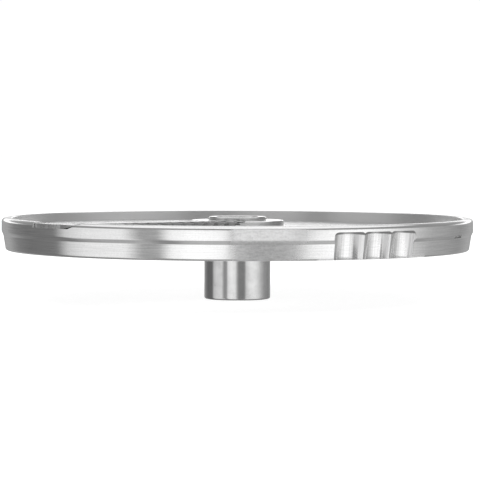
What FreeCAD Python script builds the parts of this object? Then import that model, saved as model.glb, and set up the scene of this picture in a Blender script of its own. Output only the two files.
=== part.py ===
import FreeCAD, Part
import math
import os

# Ripple-cut slicing disc for a vegetable cutter: a dished plate with a machined rim, a steel hub
# and a corrugated blade. Millimetres, +Z up, origin at the middle of the hub's lower end face.

# Heights
RIM_BOTTOM_Z = 19.5
LAND_Z = 32.0
BOSS_TOP_Z = 31.0
BOSS_BOTTOM_Z = 20.5
HUB_TOP_Z = 32.4

# Rim, from the outside in
RIM_R = 92.5
RIM_TOP_ROUND = 1.5
STEP_TOP_Z = 26.8
STEP_BOTTOM_Z = 25.4
LOWER_BAND_TOP_R = 91.8
LOWER_BAND_FOOT_R = 91.05
RIM_FOOT_ROUND = 1.0
LAND_INNER_R = 88.4
RIM_WALL_INNER_R = 87.0

# Plate: its top is a slow left-to-right ramp that climbs once round the disc
RAMP_START_DEG = 219.0
RAMP_START_DEPTH = 6.3
RAMP_RISE = 3.96
RAMP_RAIL_INNER_R = 12.0
RAMP_RAIL_OUTER_R = 100.0
PLATE_THICK = 3.2

# Hub
BOSS_R = 18.2
EDGE_BREAK = 0.25
HUB_R = 13.0
SPIGOT_R = 11.45
BORE_R = 8.0
HUB_FOOT_ROUND = 0.8
HUB_BREAK = 0.5
KEY_COLLAR_FLATS = 27.0
KEY_COLLAR_LOW_Z = 22.5
KEY_COLLAR_HIGH_Z = 28.0
DRIVE_SLOT_WIDTH = 5.0
DRIVE_SLOT_LENGTH = 21.0
DRIVE_SLOT_DEPTH = 6.0
DRIVE_SLOT_END_R = 2.4

# Blade frame: "along" runs out to the rim, "ahead" is the way the blade travels
BLADE_TURN_DEG = 35.0
EDGE_AHEAD = 23.0
BLADE_BACK_AHEAD = -0.5
BLADE_INNER_FRONT_ALONG = 12.5
BLADE_INNER_BACK_ALONG = 24.5
BLADE_END_R = 91.4
SEAT_Z = 29.9
BLADE_THICK = 1.5
RIPPLE_ROOT_AHEAD = 14.5
RIPPLE_OVERLAP = 1.0
RIPPLE_START_ALONG = 14.8
RIPPLE_PITCH = 5.0
RIPPLE_COUNT = 14
RIPPLE_HALF_HEIGHT = 0.8
ROOT_THICK = 1.2
EDGE_THICK = 0.3
EDGE_CREST_Z = 31.1
TAB_BEVEL = 6.0
TAB_TOP_DROP = 0.1
TAB_EDGE_THICK = 0.25

# Blade screws
SCREW_ALONG = (27.0, 51.0, 75.0)
SCREW_AHEAD = 6.0
SCREW_R = 2.0
SCREW_HOLE_PLAY = 0.05
SCREW_HOLE_SPARE = 0.6
BLADE_HOLE_R = 2.3
SCREW_HEAD_R = 3.9
SCREW_HEAD_SINK = 0.1
SCREW_LENGTH = 8.0
SCREW_TIP_BREAK = 0.5
SCREW_SOCKET_FLATS = 2.5
SCREW_SOCKET_DEPTH = 1.2

# Seat block under the blade, and the slot that the slices fall through
PAD_BACK_AHEAD = -2.5
PAD_FRONT_AHEAD = 13.9
PAD_FOOT_AHEAD = 13.0
PAD_BOTTOM_Z = 20.8
SLOT_LIP_AHEAD = 32.5
SLOT_INNER_ALONG = 9.0
SLOT_OUTER_R = 86.9
LIP_SLOPE = 2.0
SLOT_BOSS_GAP = 0.8

# Notch in the rim for the blade's outer end
NOTCH_BACK_AHEAD = -0.8
NOTCH_INNER_ALONG = 76.0
NOTCH_RUNOUT_START = 20.5
NOTCH_RUNOUT_END = 27.3

# Balance cuts milled into the rim's outside, and one small nick
BALANCE_DEG = (296.25, 303.7, 311.15)
CUTTER_R = 9.5
CUTTER_CORNER_R = 1.2
CUTTER_CENTRE_R = 99.33
CUTTER_TILT_DEG = 8.0
BALANCE_TOP_Z = 28.7
NICK_DEG = 334.9
NICK_WIDTH = 7.4
NICK_HEIGHT = 1.0
NICK_DEPTH = 1.2
NICK_Z = 26.2

# How far a cutting shape runs past the faces it cuts through
CLEAR = 1.0
NEAR = 1e-6

AXIS = FreeCAD.Vector(0, 0, 1)
CENTRE = FreeCAD.Vector(0, 0, 0)


def on_blade(ahead, along, z=0.0):
    """A point given in the blade's own frame."""
    turn = math.radians(BLADE_TURN_DEG)
    x = ahead * math.sin(turn) - along * math.cos(turn)
    y = -ahead * math.cos(turn) - along * math.sin(turn)
    return FreeCAD.Vector(x, y, z)


def blade_block(outline, z_low, z_high):
    """An upright prism over an outline of (ahead, along) corners."""
    corners = [on_blade(ahead, along, z_low) for ahead, along in outline]
    face = Part.Face(Part.makePolygon(corners + [corners[0]]))
    return face.extrude(AXIS * (z_high - z_low))


def blade_beam(section, along_start, along_end):
    """A prism that runs along the blade, over a section of (ahead, z) corners."""
    corners = [on_blade(ahead, along_start, z) for ahead, z in section]
    face = Part.Face(Part.makePolygon(corners + [corners[0]]))
    return face.extrude(on_blade(0.0, along_end) - on_blade(0.0, along_start))


def disc(radius, z_low, z_high):
    return Part.makeCylinder(radius, z_high - z_low, FreeCAD.Vector(0, 0, z_low))


def is_ring_at(edge, z):
    """Whether an edge lies level at the given height."""
    box = edge.BoundBox
    return max(abs(box.ZMin - z), abs(box.ZMax - z)) < NEAR


def broken_disc(radius, z_low, z_high, size):
    """A disc with both its outer edges chamfered."""
    blank = disc(radius, z_low, z_high)
    rings = [edge for edge in blank.Edges if is_ring_at(edge, z_low) or is_ring_at(edge, z_high)]
    return blank.makeChamfer(size, rings)


def mouth_break(radius, z, up):
    """A ring that chamfers the edge of a wide round opening, facing up or down."""
    narrow = radius - CLEAR
    wide = radius + EDGE_BREAK + CLEAR
    low = z - EDGE_BREAK - CLEAR if up else z - CLEAR
    ends = (narrow, wide) if up else (wide, narrow)
    cone = Part.makeCone(*ends, wide - narrow, FreeCAD.Vector(0, 0, low))
    return cone.cut(disc(narrow, low, low + wide - narrow))


def hexagon(flats, z_low, z_high, middle=CENTRE):
    """An upright hexagonal prism, by its width across flats."""
    corner_r = flats / math.sqrt(3.0)
    corners = []
    for number in range(7):
        angle = math.radians(60.0 * number)
        corners.append(middle + FreeCAD.Vector(corner_r * math.cos(angle), corner_r * math.sin(angle), z_low))
    return Part.Face(Part.makePolygon(corners)).extrude(AXIS * (z_high - z_low))


def ramp_spaces(outer_r, start_z, height):
    """The space of the given height that stands on the ramp, as two half turns."""
    spaces = []
    for half in (0, 1):
        rails = []
        for radius in (RAMP_RAIL_INNER_R, RAMP_RAIL_OUTER_R):
            rail = Part.makeHelix(RAMP_RISE, RAMP_RISE / 2.0, radius)
            rail.translate(FreeCAD.Vector(0, 0, start_z + half * RAMP_RISE / 2.0))
            rail.rotate(CENTRE, AXIS, RAMP_START_DEG + 180.0 * half)
            rails.append(rail.Edges[0])
        sweep = Part.makeRuledSurface(rails[0], rails[1]).extrude(AXIS * height)
        spaces.append(sweep.common(disc(outer_r, start_z - CLEAR, start_z + height + RAMP_RISE + CLEAR)))
    return spaces


def rim_blank():
    """The turned blank: rim, full-thickness web and nothing cut away yet."""
    round_r = RIM_TOP_ROUND
    slope = math.atan2(LOWER_BAND_TOP_R - LOWER_BAND_FOOT_R, STEP_BOTTOM_Z - RIM_BOTTOM_Z)
    foot = RIM_FOOT_ROUND
    bend = math.sqrt(0.5)
    foot_up = FreeCAD.Vector(LOWER_BAND_FOOT_R + foot * math.tan(slope), 0, RIM_BOTTOM_Z + foot)
    foot_in = FreeCAD.Vector(LOWER_BAND_FOOT_R - foot, 0, RIM_BOTTOM_Z)
    foot_mid = FreeCAD.Vector(
        LOWER_BAND_FOOT_R - foot + foot * bend, 0, RIM_BOTTOM_Z + foot - foot * bend)
    top_out = FreeCAD.Vector(RIM_R, 0, LAND_Z - round_r)
    top_in = FreeCAD.Vector(RIM_R - round_r, 0, LAND_Z)
    top_mid = FreeCAD.Vector(RIM_R - round_r + round_r * bend, 0, LAND_Z - round_r + round_r * bend)
    step_low = FreeCAD.Vector(LOWER_BAND_TOP_R, 0, STEP_BOTTOM_Z)
    step_high = FreeCAD.Vector(RIM_R, 0, STEP_TOP_Z)
    axis_low = FreeCAD.Vector(0, 0, RIM_BOTTOM_Z)
    axis_high = FreeCAD.Vector(0, 0, LAND_Z)
    edges = [
        Part.makeLine(axis_low, foot_in),
        Part.Arc(foot_in, foot_mid, foot_up).toShape(),
        Part.makeLine(foot_up, step_low),
        Part.makeLine(step_low, step_high),
        Part.makeLine(step_high, top_out),
        Part.Arc(top_out, top_mid, top_in).toShape(),
        Part.makeLine(top_in, axis_high),
        Part.makeLine(axis_high, axis_low),
    ]
    return Part.Face(Part.Wire(edges)).revolve(CENTRE, AXIS, 360)


def seat_pad():
    """The block under the blade that takes its screws; its front leans back under the edge."""
    section = [
        (PAD_BACK_AHEAD, PAD_BOTTOM_Z),
        (PAD_FOOT_AHEAD, PAD_BOTTOM_Z),
        (PAD_FRONT_AHEAD, SEAT_Z),
        (PAD_BACK_AHEAD, SEAT_Z),
    ]
    pad = blade_beam(section, 0.0, RIM_R)
    return pad.common(disc(LAND_INNER_R + CLEAR, PAD_BOTTOM_Z, LAND_Z))


def slice_slot():
    """The through slot ahead of the seat block, its front lip leaning away below."""
    low = RIM_BOTTOM_Z - CLEAR
    high = LAND_Z + CLEAR
    section = [
        (PAD_FOOT_AHEAD, low),
        (SLOT_LIP_AHEAD + LIP_SLOPE, low),
        (SLOT_LIP_AHEAD, LAND_Z - RAMP_START_DEPTH),
        (SLOT_LIP_AHEAD, high),
        (PAD_FRONT_AHEAD, high),
        (PAD_FRONT_AHEAD, SEAT_Z),
    ]
    slot = blade_beam(section, SLOT_INNER_ALONG, RIM_R)
    slot = slot.common(disc(SLOT_OUTER_R, low, high))
    return slot.cut(disc(BOSS_R + SLOT_BOSS_GAP, low, high))


def rim_notch():
    """Where the blade's outer end lies in the rim, its floor running out ahead of the edge."""
    section = [
        (NOTCH_BACK_AHEAD, SEAT_Z),
        (NOTCH_RUNOUT_START, SEAT_Z),
        (NOTCH_RUNOUT_END, LAND_Z),
        (NOTCH_RUNOUT_END, LAND_Z + CLEAR),
        (NOTCH_BACK_AHEAD, LAND_Z + CLEAR),
    ]
    return blade_beam(section, NOTCH_INNER_ALONG, RIM_R + CLEAR)


def balance_cuts():
    """Side-by-side cuts from below by a round-cornered cutter that leans with the lower band."""
    cuts = []
    reach = BALANCE_TOP_Z - RIM_BOTTOM_Z + CLEAR
    for angle in BALANCE_DEG:
        cut = Part.makeCylinder(CUTTER_R, reach, FreeCAD.Vector(0, 0, -reach))
        cut = cut.makeFillet(CUTTER_CORNER_R, [edge for edge in cut.Edges if is_ring_at(edge, 0.0)])
        cut.rotate(CENTRE, FreeCAD.Vector(0, 1, 0), CUTTER_TILT_DEG)
        cut.translate(FreeCAD.Vector(CUTTER_CENTRE_R, 0, BALANCE_TOP_Z))
        cut.rotate(CENTRE, AXIS, angle)
        cuts.append(cut)
    return cuts


def rim_nick():
    nick = Part.makeBox(NICK_DEPTH + CLEAR, NICK_WIDTH, NICK_HEIGHT)
    nick.translate(FreeCAD.Vector(RIM_R - NICK_DEPTH, -NICK_WIDTH / 2.0, NICK_Z - NICK_HEIGHT / 2.0))
    nick.rotate(CENTRE, AXIS, NICK_DEG)
    return nick


def screw_middles():
    return [on_blade(SCREW_AHEAD, along) for along in SCREW_ALONG]


def hub_outline():
    """The hub without its bore: foot, spigot and the keyed collar that the plate is cast round."""
    foot = disc(HUB_R, 0.0, BOSS_BOTTOM_Z)
    foot = foot.makeFillet(HUB_FOOT_ROUND, [edge for edge in foot.Edges if is_ring_at(edge, 0.0)])
    spigot = disc(SPIGOT_R, BOSS_BOTTOM_Z, HUB_TOP_Z)
    spigot = spigot.makeChamfer(HUB_BREAK, [edge for edge in spigot.Edges if is_ring_at(edge, HUB_TOP_Z)])
    collar = hexagon(KEY_COLLAR_FLATS, KEY_COLLAR_LOW_Z, KEY_COLLAR_HIGH_Z)
    return foot.fuse([spigot, collar]).removeSplitter()


def make_disc_body():
    above = LAND_Z - RIM_BOTTOM_Z
    ramp_start_z = LAND_Z - RAMP_START_DEPTH
    body = rim_blank()
    for space in ramp_spaces(LAND_INNER_R, ramp_start_z, above):
        body = body.cut(space)
    for space in ramp_spaces(RIM_WALL_INNER_R, ramp_start_z - PLATE_THICK - above, above):
        body = body.cut(space)
    body = body.cut(disc(BOSS_R, RIM_BOTTOM_Z - CLEAR, LAND_Z + CLEAR))
    boss = broken_disc(BOSS_R, BOSS_BOTTOM_Z, BOSS_TOP_Z, EDGE_BREAK)
    body = body.fuse([boss, seat_pad()])
    body = body.cut(slice_slot())
    body = body.cut(rim_notch())
    for tool in balance_cuts() + [rim_nick()]:
        body = body.cut(tool)
    for middle in screw_middles():
        depth = SCREW_LENGTH - BLADE_THICK + SCREW_HOLE_SPARE
        hole = Part.makeCylinder(SCREW_R + SCREW_HOLE_PLAY, depth, middle + AXIS * (SEAT_Z - depth))
        body = body.cut(hole)
    body = body.cut(mouth_break(LAND_INNER_R, LAND_Z, True))
    body = body.cut(mouth_break(RIM_WALL_INNER_R, RIM_BOTTOM_Z, False))
    return body.cut(hub_outline())


def make_drive_hub():
    hub = hub_outline()
    hub = hub.cut(disc(BORE_R, -CLEAR, HUB_TOP_Z + CLEAR))
    slot = Part.makeBox(DRIVE_SLOT_LENGTH, DRIVE_SLOT_WIDTH, DRIVE_SLOT_DEPTH)
    slot.translate(FreeCAD.Vector(-DRIVE_SLOT_LENGTH / 2.0, -DRIVE_SLOT_WIDTH / 2.0, 0.0))
    upright = [edge for edge in slot.Edges if edge.BoundBox.ZLength > DRIVE_SLOT_DEPTH / 2.0]
    slot = slot.makeFillet(DRIVE_SLOT_END_R, upright)
    hub = hub.cut(slot)
    top_rings = [edge for edge in hub.Edges if is_ring_at(edge, HUB_TOP_Z)]
    bore_ring = min(top_rings, key=lambda edge: edge.Curve.Radius)
    return hub.makeChamfer(HUB_BREAK, [bore_ring])


def ripple_outline(ahead, thick, crest_z):
    """A closed ripple profile: one curve over each half wave on top, and the same below."""
    half = RIPPLE_PITCH / 2.0
    lead = half * 4.0 / (3.0 * math.pi)
    middle_z = crest_z - thick - RIPPLE_HALF_HEIGHT
    edges = []
    for lift in (thick, 0.0):
        side = 1.0
        for number in range(2 * RIPPLE_COUNT):
            start = RIPPLE_START_ALONG + number * half
            swing = side * RIPPLE_HALF_HEIGHT * 4.0 / 3.0
            curve = Part.BezierCurve()
            curve.setPoles([
                on_blade(ahead, start, middle_z + lift),
                on_blade(ahead, start + lead, middle_z + lift + swing),
                on_blade(ahead, start + half - lead, middle_z + lift + swing),
                on_blade(ahead, start + half, middle_z + lift),
            ])
            edges.append(curve.toShape())
            side = -side
    for along in (RIPPLE_START_ALONG, RIPPLE_START_ALONG + RIPPLE_COUNT * RIPPLE_PITCH):
        foot = on_blade(ahead, along, middle_z)
        edges.append(Part.makeLine(foot, foot + AXIS * thick))
    return Part.Wire(Part.__sortEdges__(edges))


def blade_inner_trim():
    """What the slanting inner end takes off the blade, clear of the boss."""
    run = BLADE_INNER_BACK_ALONG - BLADE_INNER_FRONT_ALONG
    slant = run / (EDGE_AHEAD - BLADE_BACK_AHEAD)
    outline = [
        (EDGE_AHEAD + CLEAR, BLADE_INNER_FRONT_ALONG - CLEAR * slant),
        (BLADE_BACK_AHEAD - CLEAR, BLADE_INNER_BACK_ALONG + CLEAR * slant),
        (BLADE_BACK_AHEAD - CLEAR, -CLEAR),
        (EDGE_AHEAD + CLEAR, -CLEAR),
    ]
    return blade_block(outline, 0.0, LAND_Z)


def blade_flat():
    """The flat back of the blade, with a flat tab at each end of the ripples."""
    front = RIPPLE_ROOT_AHEAD + RIPPLE_OVERLAP
    ripple_end = RIPPLE_START_ALONG + RIPPLE_COUNT * RIPPLE_PITCH
    outline = [
        (BLADE_BACK_AHEAD, 0.0),
        (EDGE_AHEAD, 0.0),
        (EDGE_AHEAD, RIPPLE_START_ALONG),
        (front, RIPPLE_START_ALONG),
        (front, ripple_end),
        (EDGE_AHEAD, ripple_end),
        (EDGE_AHEAD, RIM_R),
        (BLADE_BACK_AHEAD, RIM_R),
    ]
    top = SEAT_Z + BLADE_THICK
    bevel_start = EDGE_AHEAD - TAB_BEVEL
    above = [
        (bevel_start, top),
        (EDGE_AHEAD, top - TAB_TOP_DROP),
        (EDGE_AHEAD, top + CLEAR),
        (bevel_start, top + CLEAR),
    ]
    below = [
        (bevel_start, SEAT_Z),
        (EDGE_AHEAD, top - TAB_TOP_DROP - TAB_EDGE_THICK),
        (EDGE_AHEAD, SEAT_Z - CLEAR),
        (bevel_start, SEAT_Z - CLEAR),
    ]
    flat = blade_block(outline, SEAT_Z, top)
    for section in (above, below):
        flat = flat.cut(blade_beam(section, ripple_end, RIM_R + CLEAR))
        flat = flat.cut(blade_beam(section, -CLEAR, RIPPLE_START_ALONG))
    return flat


def make_ripple_blade():
    top = SEAT_Z + BLADE_THICK
    root = ripple_outline(RIPPLE_ROOT_AHEAD, ROOT_THICK, top)
    edge = ripple_outline(EDGE_AHEAD, EDGE_THICK, EDGE_CREST_Z)
    blade = blade_flat().fuse(Part.makeLoft([root, edge], True, True))
    blade = blade.common(disc(BLADE_END_R, 0.0, LAND_Z))
    blade = blade.cut(blade_inner_trim())
    for middle in screw_middles():
        hole = Part.makeCylinder(BLADE_HOLE_R, BLADE_THICK + 2.0 * CLEAR, middle + AXIS * (SEAT_Z - CLEAR))
        sink = screw_head(middle, SCREW_HEAD_R + CLEAR, top + CLEAR - SCREW_HEAD_SINK)
        blade = blade.cut([hole, sink])
    return blade


def screw_head(middle, radius, top_z):
    """A right-angled countersunk cone, widest at the given height."""
    return Part.makeCone(0.0, radius, radius, middle + AXIS * (top_z - radius))


def make_blade_screws():
    top = SEAT_Z + BLADE_THICK - SCREW_HEAD_SINK
    screws = []
    for middle in screw_middles():
        shank = Part.makeCylinder(SCREW_R, SCREW_LENGTH, middle + AXIS * (top - SCREW_LENGTH))
        ends = [edge for edge in shank.Edges if is_ring_at(edge, top - SCREW_LENGTH)]
        shank = shank.makeChamfer(SCREW_TIP_BREAK, ends)
        screw = shank.fuse(screw_head(middle, SCREW_HEAD_R, top)).removeSplitter()
        socket = hexagon(SCREW_SOCKET_FLATS, top - SCREW_SOCKET_DEPTH, top + CLEAR, middle)
        screws.append(screw.cut(socket))
    return Part.makeCompound(screws)


def solids_of(shape):
    """The bare solid, or a compound of them when there are several."""
    solids = shape.Solids
    return solids[0] if len(solids) == 1 else Part.makeCompound(solids)


def main():
    os.makedirs("parts", exist_ok=True)
    pieces = {
        "disc_body": make_disc_body(),
        "drive_hub": make_drive_hub(),
        "ripple_blade": make_ripple_blade(),
        "blade_screws": make_blade_screws(),
    }
    for name, shape in pieces.items():
        solids_of(shape).exportStep("parts/" + name + ".step")
        box = shape.BoundBox
        print(name, len(shape.Solids), shape.isValid(), round(shape.Volume, 1),
              [round(v, 2) for v in (box.XMin, box.XMax, box.YMin, box.YMax, box.ZMin, box.ZMax)])


main()
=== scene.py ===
import math
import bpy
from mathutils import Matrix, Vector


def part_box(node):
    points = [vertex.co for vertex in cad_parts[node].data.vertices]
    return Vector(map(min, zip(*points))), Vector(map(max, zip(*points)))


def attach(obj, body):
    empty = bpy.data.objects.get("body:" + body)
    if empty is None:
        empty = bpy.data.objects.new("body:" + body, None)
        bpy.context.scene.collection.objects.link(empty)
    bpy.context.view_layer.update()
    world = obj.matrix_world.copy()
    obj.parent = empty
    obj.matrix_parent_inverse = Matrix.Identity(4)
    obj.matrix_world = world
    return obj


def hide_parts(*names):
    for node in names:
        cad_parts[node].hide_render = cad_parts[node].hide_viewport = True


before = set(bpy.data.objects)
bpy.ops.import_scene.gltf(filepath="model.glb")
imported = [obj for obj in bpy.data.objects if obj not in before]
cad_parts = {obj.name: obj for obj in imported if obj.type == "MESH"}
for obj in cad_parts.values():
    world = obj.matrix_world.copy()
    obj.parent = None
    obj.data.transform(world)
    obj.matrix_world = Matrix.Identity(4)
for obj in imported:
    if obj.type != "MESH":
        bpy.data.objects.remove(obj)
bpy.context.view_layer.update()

from types import SimpleNamespace

import bmesh
import bpy
from mathutils import Matrix, Vector, noise

# ---------------------------------------------------------------------------
# Sizes, in metres, read from the frame
# ---------------------------------------------------------------------------
MM = 0.001
BODY_LOW, BODY_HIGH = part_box("disc_body")
HUB_LOW, HUB_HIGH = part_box("drive_hub")
RIM_R = min(BODY_HIGH.x, BODY_HIGH.y, -BODY_LOW.x, -BODY_LOW.y)
LAND_Z = BODY_HIGH.z
RIM_FOOT_Z = BODY_LOW.z
FLOOR_Z = HUB_LOW.z

# The disc's turned profile, from the outside in
RIM_TOP_ROUND = 1.5 * MM
STEP_TOP_Z = LAND_Z - 5.2 * MM
STEP_BOTTOM_Z = LAND_Z - 6.6 * MM
LOWER_BAND_TOP_R = RIM_R - 0.7 * MM
LOWER_BAND_FOOT_R = RIM_R - 1.45 * MM
LOWER_BAND_LEAN = (LOWER_BAND_TOP_R - LOWER_BAND_FOOT_R) / (STEP_BOTTOM_Z - RIM_FOOT_Z)
STEP_BEND = 0.35 * MM
RIM_FOOT_ROUND = 1.0 * MM
LAND_INNER_R = RIM_R - 4.1 * MM
RIM_WALL_INNER_R = RIM_R - 5.5 * MM
EDGE_BREAK = 0.25 * MM
PLATE_THICK = 3.2 * MM
RAMP_START = math.radians(219.0)
RAMP_START_Z = LAND_Z - 6.3 * MM
RAMP_RISE = 3.96 * MM

# The boss round the hub, and the hollow in it for the hub's six-sided collar
BOSS_R = 18.2 * MM
BOSS_TOP_Z = 31.0 * MM
BOSS_BOTTOM_Z = 20.5 * MM
SPIGOT_R = 11.45 * MM
COLLAR_FLATS = 27.0 * MM
COLLAR_LOW_Z = 22.5 * MM
COLLAR_HIGH_Z = 28.0 * MM

# The blade's frame: "along" runs out to the rim, "ahead" is the way the blade travels
BLADE_TURN = math.radians(35.0)
SEAT_Z = 29.9 * MM
SCREW_ALONG = (27.0 * MM, 51.0 * MM, 75.0 * MM)
SCREW_AHEAD = 6.0 * MM
SCREW_HOLE_R = 2.05 * MM
SCREW_HOLE_DEPTH = 7.1 * MM
RIPPLE_ROOT_AHEAD = 14.5 * MM
EDGE_AHEAD = 23.0 * MM
# The pad's inner end keeps inside the boss; its outer end runs into the rim
PAD_BACK = -2.5 * MM
PAD_FRONT = 13.9 * MM
PAD_FOOT = 13.0 * MM
PAD_BOTTOM_Z = 20.8 * MM
PAD_INNER_BACK = 16.5 * MM
PAD_INNER_MIDDLE = (7.0 * MM, 15.2 * MM)
PAD_INNER_FRONT = 9.5 * MM
PAD_OUTER = 89.0 * MM
SLOT_LIP = 32.5 * MM
SLOT_LIP_SLOPE = 2.0 * MM
SLOT_INNER = 9.0 * MM
SLOT_OUTER_R = 86.9 * MM
SLOT_CLEAR_R = 19.0 * MM
NOTCH_BACK = -0.8 * MM
NOTCH_INNER = 76.0 * MM
NOTCH_RUNOUT_START = 20.5 * MM
NOTCH_RUNOUT_END = 27.3 * MM

# The balance cuts and the nick in the rim's outside
BALANCE_TURNS = (296.25, 303.7, 311.15)
BALANCE_TOP_Z = 28.7 * MM
CUTTER_R = 9.5 * MM
CUTTER_CORNER_R = 1.2 * MM
CUTTER_CENTRE_R = 99.33 * MM
CUTTER_TILT = math.radians(8.0)
NICK_TURN = 334.9
NICK_SIZE = (1.2 * MM, 7.4 * MM, 1.0 * MM)
NICK_Z = 26.2 * MM

# How far a cutting shape runs past the faces it cuts through, and a gap too small to see
CLEAR = 1.0 * MM
HAIR = 0.01 * MM
MERGE = 0.001 * MM

# ---------------------------------------------------------------------------
# Camera: a long lens, ten disc radii off and about two degrees above the rim
# ---------------------------------------------------------------------------
CAMERA_DISTANCE = 10.0 * RIM_R
CAMERA_ABOVE_LAND = 32.0 * MM
CAMERA_ASIDE = 1.03 * MM
CAMERA_PITCH = 0.0442
CAMERA_ROLL = 0.0025
CAMERA_LENS = 176.1
SENSOR_WIDTH = 36.0
CAMERA_NEAR = 0.05
CAMERA_FAR = 50.0

# ---------------------------------------------------------------------------
# The studio seen from the disc: brightness by direction, in degrees round from
# the camera, positive towards +X. Dark gap at the camera, softboxes each side.
# ---------------------------------------------------------------------------
STUDIO = (
    (-180, 1.60), (-176, 0.90), (-171, 0.20), (-165, 0.38), (-150, 0.38), (-136, 0.22), (-122, 0.17),
    (-98, 0.19), (-90, 0.68),
    (-78, 0.90), (-56, 0.95), (-51, 0.64), (-47, 0.38), (-38, 0.40), (-32, 1.05),
    (-20, 1.22), (-7, 1.10), (-1, 0.60), (5, 0.30), (25, 0.30), (32, 0.92),
    (46, 1.15), (62, 1.20), (76, 1.00), (90, 0.68), (108, 0.42), (137, 0.30),
    (156, 0.40), (171, 0.36), (176, 0.90), (180, 1.60),
)
STUDIO_BRIGHTEST = 1.6
# The heights below are sines of the angle above or below level.
# The dark gap between the softboxes and the bright ceiling
GAP = 0.3
GAP_FROM = 0.06
GAP_FULL = 0.14
# Behind the disc the gap is bright low down, and above that no brighter than BACK_HIGH
BACK_START = math.radians(120.0)
BACK_END = math.radians(150.0)
BACK_LOW = 1.6
BACK_HIGH = 0.4
BACK_FROM = 0.16
BACK_FULL = 0.28
CEILING = 1.05
CEILING_FROM = 0.6
CEILING_FULL = 0.76
# The table below: dim, and a little brighter under a softbox
GROUND_BASE = 0.16
GROUND_SHARE = 0.3
GROUND_FROM = 0.42
GROUND_FULL = 0.62
# What the camera sees past the floor
BACKDROP = 1.02


# ---------------------------------------------------------------------------
# Small helpers for node trees
# ---------------------------------------------------------------------------
class Tree:
    """Builds a node tree with short calls; a value is a socket or a plain number."""

    def __init__(self, tree):
        self.tree = tree
        tree.nodes.clear()

    def node(self, kind, **settings):
        made = self.tree.nodes.new(kind)
        for name, value in settings.items():
            setattr(made, name, value)
        return made

    def feed(self, socket, value):
        if isinstance(value, bpy.types.NodeSocket):
            self.tree.links.new(value, socket)
        else:
            socket.default_value = value

    def math(self, operation, first, second=0.0, third=0.0, clamp=False):
        made = self.node("ShaderNodeMath", operation=operation, use_clamp=clamp)
        for socket, value in zip(made.inputs, (first, second, third)):
            self.feed(socket, value)
        return made.outputs[0]

    def between(self, value, low, high, out_low=0.0, out_high=1.0):
        made = self.node("ShaderNodeMapRange", interpolation_type="SMOOTHSTEP")
        for socket, part in zip(made.inputs, (value, low, high, out_low, out_high)):
            self.feed(socket, part)
        return made.outputs[0]

    def blend(self, share, first, second):
        made = self.node("ShaderNodeMix", data_type="FLOAT")
        self.feed(made.inputs["Factor"], share)
        self.feed(made.inputs["A"], first)
        self.feed(made.inputs["B"], second)
        return made.outputs["Result"]

    def noise(self, where, scale, detail=2.0, roughness=0.5, dimensions="3D"):
        made = self.node("ShaderNodeTexNoise", noise_dimensions=dimensions)
        self.feed(made.inputs["W" if dimensions == "1D" else "Vector"], where)
        self.feed(made.inputs["Scale"], scale)
        self.feed(made.inputs["Detail"], detail)
        self.feed(made.inputs["Roughness"], roughness)
        return made.outputs["Fac"]

    def join(self, x, y, z):
        made = self.node("ShaderNodeCombineXYZ")
        for socket, value in zip(made.inputs, (x, y, z)):
            self.feed(socket, value)
        return made.outputs[0]

    def grey(self, value):
        made = self.node("ShaderNodeCombineColor")
        for socket in made.inputs:
            self.feed(socket, value)
        return made.outputs[0]


def place(tree):
    """Where the surface point is: its position, its distance from the axis and its bearing from the front."""
    spot = tree.node("ShaderNodeTexCoord").outputs["Object"]
    split = tree.node("ShaderNodeSeparateXYZ")
    tree.feed(split.inputs[0], spot)
    x, y, z = split.outputs
    squares = tree.math("ADD", tree.math("MULTIPLY", x, x), tree.math("MULTIPLY", y, y))
    radius = tree.math("SQRT", squares)
    bearing = tree.math("ARCTAN2", x, tree.math("MULTIPLY", y, -1.0))
    return SimpleNamespace(spot=spot, x=x, y=y, z=z, radius=radius, bearing=bearing)


def facing(tree):
    """The surface's outward direction, as x, y, z."""
    split = tree.node("ShaderNodeSeparateXYZ")
    tree.feed(split.inputs[0], tree.node("ShaderNodeNewGeometry").outputs["Normal"])
    return split.outputs


def turning_marks(tree, at, scale):
    """Fine rings round the axis, on level faces and upright ones alike."""
    level = tree.noise(at.radius, scale, 3.0, 0.6, "1D")
    upright = tree.noise(at.z, scale, 3.0, 0.6, "1D")
    return tree.math("ADD", level, upright)


def window(tree, value, low, high, soft):
    """1 between low and high, fading to 0 over the soft width outside them."""
    rise = tree.between(value, low - soft, low)
    return tree.math("MULTIPLY", rise, tree.between(value, high, high + soft, 1.0, 0.0))


def metal(name, grey, roughness, anisotropy=0.0):
    """A metal material with its constants set on the shader; returns the tree and the shader."""
    material = bpy.data.materials.new(name)
    material.use_nodes = True
    tree = Tree(material.node_tree)
    shader = tree.node("ShaderNodeBsdfPrincipled")
    shader.inputs["Metallic"].default_value = 1.0
    shader.inputs["Base Color"].default_value = (*grey, 1.0)
    shader.inputs["Roughness"].default_value = roughness
    shader.inputs["Anisotropic"].default_value = anisotropy
    output = tree.node("ShaderNodeOutputMaterial")
    tree.feed(output.inputs["Surface"], shader.outputs[0])
    if anisotropy:
        round_axis = tree.node("ShaderNodeTangent", direction_type="RADIAL", axis="Z")
        tree.feed(shader.inputs["Tangent"], round_axis.outputs[0])
        shader.inputs["Anisotropic Rotation"].default_value = 0.25
    return material, tree, shader


def bump(tree, height, distance, strength=1.0, under=None):
    made = tree.node("ShaderNodeBump")
    made.inputs["Strength"].default_value = strength
    made.inputs["Distance"].default_value = distance
    tree.feed(made.inputs["Height"], height)
    if under is not None:
        tree.feed(made.inputs["Normal"], under)
    return made.outputs[0]


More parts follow.
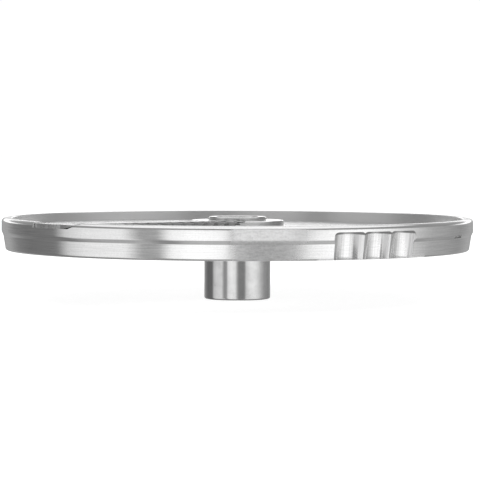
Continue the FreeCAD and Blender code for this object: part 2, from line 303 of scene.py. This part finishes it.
# ---------------------------------------------------------------------------
# Materials
# ---------------------------------------------------------------------------
# Bearings from the front, in radians: the dull ground patch, the balance cuts and the nick, where shade is
# painted
PATCH_START = math.radians(-0.9)
PATCH_END = math.radians(16.2)
CUTS_START = math.radians(18.0)
CUTS_END = math.radians(49.0)
NICK_SHADE_START = CUTS_END + 0.06
NICK_SHADE_END = CUTS_END + 0.6
# A point this deep behind the turned outside is on a cut
CUT_DEPTH = 0.1 * MM
CUT_DEPTH_FULL = 0.22 * MM


def patch_mask(tree, at, outside):
    """The ragged dull patch on the rim's front, below the rounded top edge."""
    ragged = tree.math("MULTIPLY", tree.math("SUBTRACT", tree.noise(at.spot, 420.0, 2.0), 0.5), 0.04)
    edge = tree.math("ADD", at.bearing, ragged)
    left = tree.between(edge, PATCH_START - 0.02, PATCH_START + 0.02)
    right = tree.between(edge, PATCH_END - 0.1, PATCH_END + 0.05, 1.0, 0.0)
    under_round = tree.between(at.z, LAND_Z - 1.3 * MM, LAND_Z - 0.9 * MM, 1.0, 0.0)
    across = tree.math("MULTIPLY", left, right)
    return tree.math("MULTIPLY", across, tree.math("MULTIPLY", outside, under_round))


def cut_masks(tree, at, outside):
    """Masks for the milled cuts, and for the painted shade in the corner under their top, on their far side
    and in the nick.
    """
    up_band = tree.math("SUBTRACT", tree.math("MINIMUM", at.z, STEP_BOTTOM_Z), RIM_FOOT_Z)
    band_r = tree.math("MULTIPLY_ADD", up_band, LOWER_BAND_LEAN, LOWER_BAND_FOOT_R)
    step_r = tree.between(at.z, STEP_BOTTOM_Z, STEP_TOP_Z, 0.0, RIM_R - LOWER_BAND_TOP_R)
    depth = tree.math("SUBTRACT", tree.math("ADD", band_r, step_r), at.radius)
    # The cuts' top leans with the cutter
    from_cutter = tree.math("SUBTRACT", at.radius, CUTTER_CENTRE_R)
    lean_in = tree.math("MULTIPLY", from_cutter, math.tan(CUTTER_TILT))
    under_top = tree.math("SUBTRACT", tree.math("ADD", at.z, lean_in), BALANCE_TOP_Z)
    below = tree.between(under_top, 0.0, 0.1 * MM, 1.0, 0.0)
    inset = tree.between(depth, CUT_DEPTH, CUT_DEPTH_FULL)
    inset = tree.math("MULTIPLY", inset, tree.math("MULTIPLY", below, outside))

    near_cuts = tree.math("MULTIPLY", tree.between(at.bearing, CUTS_START, CUTS_START + 0.02),
                          tree.between(at.bearing, CUTS_END, CUTS_END + 0.02, 1.0, 0.0))
    milled = tree.math("MULTIPLY", inset, near_cuts)
    # Painted shade: the corner under the cuts' top is made darker
    corner = tree.math("MULTIPLY", tree.between(under_top, -1.35 * MM, -0.95 * MM), milled)
    # Painted shade: the cuts' faces that point towards +X are made darker
    far_side = tree.math("MULTIPLY", tree.between(facing(tree)["X"], 0.74, 0.86), milled)
    # Painted shade in the nick: its hollow, above the foot of the step, is made darker
    painted_shade = tree.math("MULTIPLY", inset, tree.between(at.bearing, NICK_SHADE_START, NICK_SHADE_START + 0.02))
    painted_shade = tree.math("MULTIPLY", painted_shade, tree.between(at.bearing, NICK_SHADE_END, NICK_SHADE_END + 0.02, 1.0, 0.0))
    painted_shade = tree.math("MULTIPLY", painted_shade, tree.between(at.z, STEP_BOTTOM_Z - 0.1 * MM, STEP_BOTTOM_Z))
    return milled, corner, far_side, painted_shade


def turned_aluminium():
    """The disc: lathe marks round the axis, faint scratches, one dull ground patch and milled cuts."""
    material, tree, shader = metal("turned_aluminium", (0.86, 0.86, 0.86), 0.24, 0.6)
    at = place(tree)
    around = tree.math("MULTIPLY", at.bearing, RIM_R)
    across = [tree.math("MULTIPLY", part, 40.0) for part in (at.radius, at.z)]
    streaks = tree.noise(tree.join(around, *across), 60.0, 4.0, 0.6)
    clouds = tree.noise(at.spot, 55.0, 3.0, 0.55)
    grain = tree.noise(at.spot, 1500.0, 4.0, 0.75)
    blotches = tree.noise(tree.join(around, 0.0, tree.math("MULTIPLY", at.z, 3.5)), 300.0, 4.0, 0.65)
    mill_lines = tree.noise(tree.join(around, tree.math("MULTIPLY", at.z, 0.1), 0.0), 900.0, 3.0, 0.6)

    # Where each finish lies
    outside = tree.between(at.radius, LAND_INNER_R + 0.8 * MM, LAND_INNER_R + 2.0 * MM)
    patch = patch_mask(tree, at, outside)
    milled, corner, far_side, painted_shade = cut_masks(tree, at, outside)
    wall = window(tree, at.radius, LAND_INNER_R - 0.05 * MM, LAND_INNER_R + 0.05 * MM, 0.05 * MM)
    boss = window(tree, at.radius, BOSS_R - 0.05 * MM, BOSS_R + 0.05 * MM, 0.05 * MM)
    plate = window(tree, at.radius, BOSS_R + 0.4 * MM, LAND_INNER_R - 0.4 * MM, 0.2 * MM)
    lower = tree.between(at.z, STEP_BOTTOM_Z, STEP_TOP_Z, 1.0, 0.0)
    upright = tree.between(at.z, STEP_TOP_Z + 0.1 * MM, STEP_TOP_Z + 0.4 * MM)
    groove = tree.math("MULTIPLY", tree.between(at.z, STEP_BOTTOM_Z - 0.1 * MM, STEP_BOTTOM_Z + 0.1 * MM),
                       tree.between(at.z, STEP_TOP_Z - 0.2 * MM, STEP_TOP_Z + 0.1 * MM, 1.0, 0.0))
    # Painted shade in the cuts' top corner and in the nick, made duller and less metallic below
    corner_and_nick_shade = tree.math("MAXIMUM", corner, painted_shade)

    # Roughness
    fine = tree.between(streaks, 0.3, 0.7, 0.1, 0.17)
    satin = tree.between(streaks, 0.3, 0.7, 0.15, 0.21)
    worn = tree.blend(outside, satin, fine)
    worn = tree.blend(wall, worn, 0.3)
    upper_patch = tree.between(grain, 0.35, 0.65, 0.5, 0.7)
    lower_patch = tree.between(grain, 0.35, 0.65, 0.3, 0.46)
    worn = tree.blend(patch, worn, tree.blend(lower, upper_patch, lower_patch))
    worn = tree.blend(milled, worn, tree.between(mill_lines, 0.3, 0.7, 0.32, 0.46))
    worn = tree.blend(corner_and_nick_shade, worn, 0.7)
    worn = tree.math("ADD", worn, tree.between(clouds, 0.3, 0.7, -0.015, 0.02))
    tree.feed(shader.inputs["Roughness"], worn)

    # Colour
    speckle = tree.math("MULTIPLY", tree.between(grain, 0.3, 0.7, -0.03, 0.03), outside)
    shade = tree.math("ADD", tree.between(streaks, 0.25, 0.75, 0.8, 0.93), speckle)
    dull = tree.math("ADD", tree.between(grain, 0.35, 0.65, 0.88, 1.0),
                     tree.between(blotches, 0.35, 0.65, -0.08, 0.08))
    # Painted shade in the patch: its lower band and its groove are made darker
    dull = tree.math("MULTIPLY", dull, tree.blend(lower, 1.0, 0.84))
    dull = tree.math("MULTIPLY", dull, tree.blend(groove, 1.0, 0.86), clamp=True)
    shade = tree.blend(patch, shade, dull)
    shade = tree.blend(milled, shade, tree.between(mill_lines, 0.25, 0.75, 0.9, 1.0))
    # Painted shade on the cuts' far side, in the corner under their top and in the nick
    shade = tree.blend(far_side, shade, 0.42)
    shade = tree.blend(corner, shade, 0.2)
    shade = tree.blend(painted_shade, shade, 0.42)
    # Painted shade: the boss's side darkens from 25 to 70 degrees round from the front, towards +X
    boss_painted_shade = tree.between(at.bearing, math.radians(25.0), math.radians(70.0), 0.9, 0.5)
    shade = tree.blend(boss, shade, boss_painted_shade)
    shade = tree.blend(plate, shade, tree.between(clouds, 0.3, 0.7, 0.76, 0.86))
    shade = tree.blend(wall, shade, tree.between(clouds, 0.2, 0.8, 0.78, 0.84))
    tree.feed(shader.inputs["Base Color"], tree.grey(shade))

    # How far a chalky skin hides the bare metal, and how far the painted shade in the cuts' top corner and in
    # the nick does
    chalky_skin_and_shade = tree.math("MULTIPLY", patch, tree.blend(upright, 0.15, 0.62))
    chalky_skin_and_shade = tree.math("MAXIMUM", chalky_skin_and_shade, tree.math("MULTIPLY", milled, 0.4))
    chalky_skin_and_shade = tree.math("MAXIMUM", chalky_skin_and_shade, tree.math("MULTIPLY", corner_and_nick_shade, 0.9))
    tree.feed(shader.inputs["Metallic"], tree.math("SUBTRACT", 1.0, chalky_skin_and_shade))

    lines = bump(tree, turning_marks(tree, at, 5200.0), 0.0006 * MM, 0.5)
    pitted = bump(tree, tree.math("MULTIPLY", grain, patch), 0.01 * MM, 0.6, lines)
    chatter = bump(tree, tree.math("MULTIPLY", mill_lines, milled), 0.02 * MM, 0.6, pitted)
    tree.feed(shader.inputs["Normal"], chatter)
    return material


def turned_steel():
    """The hub: bright turned steel with fine rings, a few darker spots and painted shade on its upper end."""
    material, tree, shader = metal("turned_steel", (0.66, 0.655, 0.65), 0.2, 0.7)
    at = place(tree)
    clouds = tree.noise(at.spot, 210.0, 4.0, 0.6)
    grain = tree.noise(at.spot, 1900.0, 2.0, 0.6)
    tree.feed(shader.inputs["Roughness"], tree.between(clouds, 0.3, 0.7, 0.1, 0.17))
    spots = tree.between(grain, 0.62, 0.75, 0.0, -0.12)
    shade = tree.math("ADD", tree.between(clouds, 0.3, 0.75, 0.68, 0.6), spots)
    # Painted shade: the hub's upper end is made darker
    upper_end_shade = tree.between(at.z, HUB_HIGH.z - 0.6 * MM, HUB_HIGH.z - 0.45 * MM)
    shade = tree.blend(upper_end_shade, shade, tree.between(clouds, 0.3, 0.7, 0.4, 0.5))
    tree.feed(shader.inputs["Base Color"], tree.grey(shade))
    lines = bump(tree, turning_marks(tree, at, 4200.0), 0.0006 * MM, 0.5)
    tree.feed(shader.inputs["Normal"], bump(tree, clouds, 0.006 * MM, 0.3, lines))
    return material


def ground_steel():
    """The blade: grinding lines across its width, and painted shade under it, on its ripples' flanks and on
    its edge's front face.
    """
    material, tree, shader = metal("ground_steel", (0.7, 0.7, 0.69), 0.26, 0.0)
    at = place(tree)
    ahead_x, ahead_y, _ = on_blade(1.0, 0.0, 0.0)
    along_x, along_y, _ = on_blade(0.0, 1.0, 0.0)
    along = tree.math("ADD", tree.math("MULTIPLY", at.x, along_x), tree.math("MULTIPLY", at.y, along_y))
    ahead = tree.math("ADD", tree.math("MULTIPLY", at.x, ahead_x), tree.math("MULTIPLY", at.y, ahead_y))
    lines = tree.noise(tree.join(tree.math("MULTIPLY", along, 40.0), ahead, at.z), 90.0, 5.0, 0.65)
    clouds = tree.noise(at.spot, 120.0, 3.0, 0.55)
    rough = tree.math("ADD", tree.between(lines, 0.3, 0.7, 0.2, 0.34),
                      tree.between(clouds, 0.3, 0.7, -0.03, 0.05))
    tree.feed(shader.inputs["Roughness"], rough)

    way = facing(tree)
    # Painted shade: darker where the blade faces down, where its edge faces ahead and on the ripples' flanks
    under = tree.between(way["Z"], -0.05, -0.3)
    forwards = tree.math("ADD", tree.math("MULTIPLY", way["X"], ahead_x),
                         tree.math("MULTIPLY", way["Y"], ahead_y))
    at_edge = tree.between(ahead, EDGE_AHEAD - 0.5 * MM, EDGE_AHEAD - 0.2 * MM)
    front = tree.math("MULTIPLY", tree.between(forwards, 0.6, 0.8), at_edge)
    on_ripples = tree.between(ahead, RIPPLE_ROOT_AHEAD + 0.5 * MM, RIPPLE_ROOT_AHEAD + 1.3 * MM)
    flank = tree.math("MULTIPLY", tree.between(way["Z"], 0.97, 0.86), on_ripples)
    painted_shade = tree.math("MAXIMUM", tree.math("MAXIMUM", under, front), tree.math("MULTIPLY", flank, 0.75))
    shade = tree.blend(painted_shade, tree.between(clouds, 0.25, 0.75, 0.66, 0.76), 0.26)
    tree.feed(shader.inputs["Base Color"], tree.grey(shade))
    tree.feed(shader.inputs["Normal"], bump(tree, lines, 0.01 * MM, 0.5))
    return material


def screw_steel():
    """The screws: plain steel, lightly worn."""
    material, tree, shader = metal("screw_steel", (0.58, 0.58, 0.57), 0.3)
    at = place(tree)
    clouds = tree.noise(at.spot, 400.0, 3.0, 0.6)
    tree.feed(shader.inputs["Roughness"], tree.between(clouds, 0.3, 0.7, 0.24, 0.4))
    tree.feed(shader.inputs["Base Color"], tree.grey(tree.between(clouds, 0.3, 0.7, 0.5, 0.62)))
    tree.feed(shader.inputs["Normal"], bump(tree, tree.noise(at.spot, 2400.0), 0.004 * MM, 0.5))
    return material


# ---------------------------------------------------------------------------
# The disc, turned as a fine mesh and then cut like the real one
# ---------------------------------------------------------------------------
COLUMN_STEP = math.radians(0.5)
# The ramp's end meets its start in a step over this small angle
STEP_STEEPNESS = math.radians(0.05)
# How near a corner the extra profile point stands that keeps its shading tight
CREASE = 0.1 * MM
SHARP_FROM = math.radians(17.0)


def arc(centre_r, centre_z, radius, start, end, steps):
    """Points of a profile arc, its angles in degrees from the outward direction."""
    points = []
    for number in range(steps + 1):
        angle = math.radians(start + (end - start) * number / steps)
        points.append((centre_r + radius * math.cos(angle), centre_z + radius * math.sin(angle)))
    return points


def collar_r(angle):
    """How far out the six-sided hollow's wall is, at a bearing round the axis."""
    side = math.radians(60.0)
    from_middle = (angle % side) - side / 2.0
    return COLLAR_FLATS / 2.0 / math.cos(from_middle)


def turned_profile(angle):
    """The closed profile of the disc at one bearing, as (r, z) points."""
    climbed = (angle - RAMP_START) / (2.0 * math.pi)
    plate_top = RAMP_START_Z + RAMP_RISE * climbed
    plate_low = plate_top - PLATE_THICK
    foot_r = LOWER_BAND_FOOT_R - RIM_FOOT_ROUND
    hollow = collar_r(angle)
    points = arc(foot_r, RIM_FOOT_Z + RIM_FOOT_ROUND, RIM_FOOT_ROUND, -90.0, 5.0, 9)
    points += [(LOWER_BAND_TOP_R - CREASE * LOWER_BAND_LEAN, STEP_BOTTOM_Z - CREASE)]
    points += [(LOWER_BAND_TOP_R, STEP_BOTTOM_Z)]
    points += [(RIM_R - STEP_BEND * 0.6, STEP_TOP_Z - STEP_BEND), (RIM_R - STEP_BEND * 0.15, STEP_TOP_Z)]
    points += [(RIM_R, STEP_TOP_Z + STEP_BEND), (RIM_R, STEP_TOP_Z + STEP_BEND + CREASE)]
    points += arc(RIM_R - RIM_TOP_ROUND, LAND_Z - RIM_TOP_ROUND, RIM_TOP_ROUND, 0.0, 90.0, 12)
    points += [(LAND_INNER_R + EDGE_BREAK, LAND_Z), (LAND_INNER_R, LAND_Z - EDGE_BREAK)]
    points += [(LAND_INNER_R, plate_top), (BOSS_R, plate_top)]
    points += [(BOSS_R, BOSS_TOP_Z - EDGE_BREAK), (BOSS_R - EDGE_BREAK, BOSS_TOP_Z), (SPIGOT_R, BOSS_TOP_Z)]
    points += [(SPIGOT_R, COLLAR_HIGH_Z), (hollow, COLLAR_HIGH_Z)]
    points += [(hollow, COLLAR_LOW_Z), (SPIGOT_R, COLLAR_LOW_Z), (SPIGOT_R, BOSS_BOTTOM_Z)]
    points += [(BOSS_R - EDGE_BREAK, BOSS_BOTTOM_Z), (BOSS_R, BOSS_BOTTOM_Z + EDGE_BREAK)]
    points += [(BOSS_R, plate_low), (RIM_WALL_INNER_R, plate_low)]
    points += [(RIM_WALL_INNER_R, RIM_FOOT_Z + EDGE_BREAK), (RIM_WALL_INNER_R + EDGE_BREAK, RIM_FOOT_Z)]
    return points


def mesh_object(name, corners, faces):
    """An object of its own mesh, its faces turned outwards."""
    mesh = bpy.data.meshes.new(name)
    mesh.from_pydata(corners, [], faces)
    fine = bmesh.new()
    fine.from_mesh(mesh)
    bmesh.ops.recalc_face_normals(fine, faces=fine.faces)
    fine.to_mesh(mesh)
    fine.free()
    made = bpy.data.objects.new(name, mesh)
    bpy.context.scene.collection.objects.link(made)
    return made


def rings_to_mesh(rings, closed):
    """Corners and faces of a skin over equal rings; open skins get flat end faces."""
    count = len(rings[0])
    corners = [corner for ring in rings for corner in ring]
    faces = []
    for number in range(len(rings) if closed else len(rings) - 1):
        near = number * count
        far = (number + 1) % len(rings) * count
        for point in range(count):
            after = (point + 1) % count
            faces.append((near + point, near + after, far + after, far + point))
    if not closed:
        faces.append(tuple(range(count)))
        faces.append(tuple(range((len(rings) - 1) * count, len(rings) * count)))
    return corners, faces


def on_blade(ahead, along, z):
    """A point given in the blade's own frame."""
    x = ahead * math.sin(BLADE_TURN) - along * math.cos(BLADE_TURN)
    y = -ahead * math.cos(BLADE_TURN) - along * math.sin(BLADE_TURN)
    return (x, y, z)


def turned_blank():
    """The disc before any cut: one profile in every column, round the axis."""
    rings = []
    columns = round(2.0 * math.pi / COLUMN_STEP)
    angles = [RAMP_START + number * COLUMN_STEP for number in range(columns)]
    angles.append(RAMP_START + 2.0 * math.pi - STEP_STEEPNESS)
    for angle in angles:
        turn = (math.cos(angle), math.sin(angle))
        rings.append([(r * turn[0], r * turn[1], z) for r, z in turned_profile(angle)])
    return mesh_object("turned_disc", *rings_to_mesh(rings, True))


def seat_pad():
    """The block under the blade, its front a hair behind the slot's back wall."""
    rings = []
    for z, front in ((PAD_BOTTOM_Z, PAD_FOOT - HAIR), (SEAT_Z - HAIR, PAD_FRONT - HAIR)):
        outline = ((PAD_BACK, PAD_INNER_BACK), PAD_INNER_MIDDLE, (front, PAD_INNER_FRONT),
                   (front, PAD_OUTER), (PAD_BACK, PAD_OUTER))
        rings.append([on_blade(ahead, along, z) for ahead, along in outline])
    return mesh_object("pad", *rings_to_mesh(rings, False))


def slice_slot():
    """The slot ahead of the pad: straight sides, a round outer end, clear of the boss."""
    steps = 24
    lean = (PAD_FRONT - PAD_FOOT) / (SEAT_Z - RIM_FOOT_Z)
    rings = []
    for z in (RIM_FOOT_Z - CLEAR, RAMP_START_Z, SEAT_Z, LAND_Z + CLEAR):
        back = PAD_FRONT - max(0.0, SEAT_Z - z) * lean
        lip = SLOT_LIP + (SLOT_LIP_SLOPE if z < RIM_FOOT_Z else 0.0)
        run = [back + (lip - back) * number / steps for number in range(steps + 1)]
        ring = [on_blade(ahead, math.sqrt(SLOT_OUTER_R ** 2 - ahead ** 2), z) for ahead in run]
        for ahead in reversed(run):
            boss_side = math.sqrt(max(0.0, SLOT_CLEAR_R ** 2 - ahead ** 2))
            ring.append(on_blade(ahead, max(SLOT_INNER, boss_side), z))
        rings.append(ring)
    return mesh_object("slot", *rings_to_mesh(rings, False))


def rim_notch():
    """Where the blade's outer end lies in the rim, its floor running out ahead of the edge."""
    section = ((NOTCH_BACK, SEAT_Z), (NOTCH_RUNOUT_START, SEAT_Z), (NOTCH_RUNOUT_END, LAND_Z),
               (NOTCH_RUNOUT_END, LAND_Z + CLEAR), (NOTCH_BACK, LAND_Z + CLEAR))
    rings = []
    for along in (NOTCH_INNER, RIM_R + CLEAR):
        rings.append([on_blade(ahead, along, z) for ahead, z in section])
    return mesh_object("notch", *rings_to_mesh(rings, False))


def screw_hole(along):
    """A plain hole down into the pad."""
    sides = 32
    rings = []
    for z in (SEAT_Z - SCREW_HOLE_DEPTH, SEAT_Z + CLEAR):
        ring = []
        for number in range(sides):
            angle = 2.0 * math.pi * number / sides
            ahead = SCREW_AHEAD + SCREW_HOLE_R * math.cos(angle)
            ring.append(on_blade(ahead, along + SCREW_HOLE_R * math.sin(angle), z))
        rings.append(ring)
    return mesh_object("hole", *rings_to_mesh(rings, False))


# How uneven the cutter left the cuts' sides: its depth, how tightly it is packed round the
# cutter, and how slowly it changes up the cut, in noise units for each millimetre
CHATTER = 0.05 * MM
CHATTER_AROUND = 14.0
CHATTER_UP = 0.03


def balance_cut(degrees):
    """A round-cornered cutter leaning with the rim's lower band, with chatter marks down its side."""
    sides = 240
    levels = 12
    reach = BALANCE_TOP_Z - RIM_FOOT_Z + CLEAR
    heights = [-reach + (reach - CUTTER_CORNER_R) * number / levels for number in range(levels + 1)]
    profile = [(CUTTER_R, height) for height in heights]
    profile += arc(CUTTER_R - CUTTER_CORNER_R, -CUTTER_CORNER_R, CUTTER_CORNER_R, 0.0, 90.0, 8)[1:]
    placed = Matrix.Rotation(math.radians(degrees), 4, "Z")
    placed = placed @ Matrix.Translation((CUTTER_CENTRE_R, 0.0, BALANCE_TOP_Z))
    placed = placed @ Matrix.Rotation(CUTTER_TILT, 4, "Y")
    rings = []
    for radius, height in profile:
        ring = []
        for number in range(sides):
            angle = 2.0 * math.pi * number / sides
            turn = Vector((math.cos(angle), math.sin(angle), 0.0))
            where = turn * CHATTER_AROUND + Vector((0.0, 0.0, degrees + height / MM * CHATTER_UP))
            worn = radius + CHATTER * noise.noise(where)
            ring.append(placed @ (turn * worn + Vector((0.0, 0.0, height))))
        rings.append(ring)
    return mesh_object("balance_cut", *rings_to_mesh(rings, False))


def rim_nick():
    """The small nick in the rim's outside, on the groove."""
    depth, width, height = NICK_SIZE
    placed = Matrix.Rotation(math.radians(NICK_TURN), 4, "Z")
    rings = []
    for radius in (RIM_R - depth, RIM_R + CLEAR):
        ring = []
        for side, level in ((-1, -1), (1, -1), (1, 1), (-1, 1)):
            ring.append(placed @ Vector((radius, side * width / 2.0, NICK_Z + level * height / 2.0)))
        rings.append(ring)
    return mesh_object("nick", *rings_to_mesh(rings, False))


def join(objects):
    """One object of several that don't touch."""
    mesh = bmesh.new()
    for made in objects:
        mesh.from_mesh(made.data)
    mesh.to_mesh(objects[0].data)
    mesh.free()
    for made in objects[1:]:
        bpy.data.objects.remove(made)
    return objects[0]


def make_disc(material):
    """The turned blank with its pad added and every cut made, shown instead of the CAD disc."""
    blank = turned_blank()
    first, middle, last = BALANCE_TURNS
    holes = [screw_hole(along) for along in SCREW_ALONG]
    # Shapes that overlap go in different steps, so that no step's tool crosses itself
    steps = (
        ("UNION", [seat_pad()]),
        ("DIFFERENCE", [slice_slot(), rim_nick(), balance_cut(first), balance_cut(last)]),
        ("DIFFERENCE", [rim_notch(), balance_cut(middle)] + holes),
    )
    tools = []
    for operation, shapes in steps:
        tools.append(join(shapes))
        change = blank.modifiers.new("cut", "BOOLEAN")
        change.operation = operation
        change.solver = "EXACT"
        change.object = tools[-1]
    cut = bpy.data.meshes.new_from_object(blank.evaluated_get(bpy.context.evaluated_depsgraph_get()))
    for spare in tools + [blank]:
        bpy.data.objects.remove(spare)
    fine = bmesh.new()
    fine.from_mesh(cut)
    bmesh.ops.remove_doubles(fine, verts=fine.verts, dist=MERGE)
    bmesh.ops.dissolve_degenerate(fine, edges=fine.edges, dist=MERGE)
    fine.to_mesh(cut)
    fine.free()
    cut.shade_smooth()
    cut.set_sharp_from_angle(angle=SHARP_FROM)
    cut.materials.clear()
    cut.materials.append(material)
    body = bpy.data.objects.new("turned_disc_body", cut)
    bpy.context.scene.collection.objects.link(body)
    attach(body, "root")
    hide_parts("disc_body")
    return body


def wear_node(name, material):
    """Gives a CAD node its material."""
    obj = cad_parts[name]
    obj.data.materials.clear()
    obj.data.materials.append(material)
    return obj


# ---------------------------------------------------------------------------
# Stage, light and camera
# ---------------------------------------------------------------------------
FLOOR_R = 6.0
FLOOR_GAP = 0.05 * MM
FLOOR_GLOW = 0.86
FLOOR_SHADE = 0.55


def make_floor():
    """A wide round pale floor that the metal doesn't mirror, open from below."""
    points = 96
    mesh = bpy.data.meshes.new("studio_floor")
    ring = []
    for number in range(points):
        angle = 2.0 * math.pi * number / points
        ring.append((FLOOR_R * math.cos(angle), FLOOR_R * math.sin(angle), FLOOR_Z - FLOOR_GAP))
    mesh.from_pydata(ring, [], [tuple(range(points))])
    floor = bpy.data.objects.new("studio_floor", mesh)
    bpy.context.scene.collection.objects.link(floor)
    floor.visible_glossy = False
    material = bpy.data.materials.new("pale_floor")
    material.use_nodes = True
    tree = Tree(material.node_tree)
    shader = tree.node("ShaderNodeBsdfPrincipled")
    shader.inputs["Base Color"].default_value = (FLOOR_SHADE, FLOOR_SHADE, FLOOR_SHADE, 1.0)
    shader.inputs["Roughness"].default_value = 0.9
    shader.inputs["Specular IOR Level"].default_value = 0.0
    shader.inputs["Emission Color"].default_value = (1.0, 1.0, 1.0, 1.0)
    shader.inputs["Emission Strength"].default_value = FLOOR_GLOW
    clear = tree.node("ShaderNodeBsdfTransparent")
    side = tree.node("ShaderNodeNewGeometry").outputs["Backfacing"]
    mix = tree.node("ShaderNodeMixShader")
    tree.feed(mix.inputs[0], side)
    tree.feed(mix.inputs[1], shader.outputs[0])
    tree.feed(mix.inputs[2], clear.outputs[0])
    tree.feed(tree.node("ShaderNodeOutputMaterial").inputs["Surface"], mix.outputs[0])
    mesh.materials.append(material)
    return floor


def make_studio():
    """The studio's walls and softboxes as the world's light, white where the camera looks past the floor."""
    world = bpy.data.worlds.new("studio")
    bpy.context.scene.world = world
    world.use_nodes = True
    tree = Tree(world.node_tree)
    way = tree.node("ShaderNodeTexCoord").outputs["Generated"]
    split = tree.node("ShaderNodeSeparateXYZ")
    tree.feed(split.inputs[0], way)
    x, y, z = split.outputs
    bearing = tree.math("ARCTAN2", x, tree.math("MULTIPLY", y, -1.0))
    share = tree.math("ADD", tree.math("DIVIDE", bearing, 2.0 * math.pi), 0.5)
    ramp = tree.node("ShaderNodeValToRGB")
    stops = ramp.color_ramp.elements
    while len(stops) > 1:
        stops.remove(stops[0])
    for number, (degrees, bright) in enumerate(STUDIO):
        spot = degrees / 360.0 + 0.5
        stop = stops[0] if number == 0 else stops.new(spot)
        stop.position = spot
        level = bright / STUDIO_BRIGHTEST
        stop.color = (level, level, level, 1.0)
    tree.feed(ramp.inputs[0], share)
    walls = tree.math("MULTIPLY", ramp.outputs[0], STUDIO_BRIGHTEST)
    behind = tree.between(tree.math("ABSOLUTE", bearing), BACK_START, BACK_END)
    back_high = tree.math("MINIMUM", walls, BACK_HIGH)
    back = tree.blend(tree.between(z, BACK_FROM, BACK_FULL), BACK_LOW, back_high)
    gap = tree.blend(behind, GAP, back)
    upper = tree.blend(tree.between(z, GAP_FROM, GAP_FULL), walls, gap)
    upper = tree.blend(tree.between(z, CEILING_FROM, CEILING_FULL), upper, CEILING)
    ground = tree.math("MULTIPLY_ADD", walls, GROUND_SHARE, GROUND_BASE)
    light = tree.blend(tree.between(z, -GROUND_FROM, -GROUND_FULL), upper, ground)
    seen = tree.node("ShaderNodeLightPath").outputs["Is Camera Ray"]
    bright = tree.blend(seen, light, BACKDROP)
    background = tree.node("ShaderNodeBackground")
    tree.feed(background.inputs["Color"], tree.grey(bright))
    tree.feed(tree.node("ShaderNodeOutputWorld").inputs["Surface"], background.outputs[0])


def make_camera():
    """The camera at the photo's angle, tipped down and turned a little about its own line of sight."""
    data = bpy.data.cameras.new("camera")
    data.lens = CAMERA_LENS
    data.sensor_width = SENSOR_WIDTH
    data.clip_start = CAMERA_NEAR
    data.clip_end = CAMERA_FAR
    camera = bpy.data.objects.new("camera", data)
    bpy.context.scene.collection.objects.link(camera)
    camera.location = (CAMERA_ASIDE, -CAMERA_DISTANCE, LAND_Z + CAMERA_ABOVE_LAND)
    tip = Matrix.Rotation(math.pi / 2.0 - CAMERA_PITCH, 4, "X")
    roll = Matrix.Rotation(CAMERA_ROLL, 4, "Z")
    camera.matrix_world = Matrix.Translation(camera.location) @ tip @ roll
    bpy.context.scene.camera = camera
    bpy.context.scene.view_settings.view_transform = "Standard"


make_camera()
make_studio()
make_floor()
make_disc(turned_aluminium())
wear_node("drive_hub", turned_steel())
wear_node("ripple_blade", ground_steel())
wear_node("blade_screws", screw_steel())
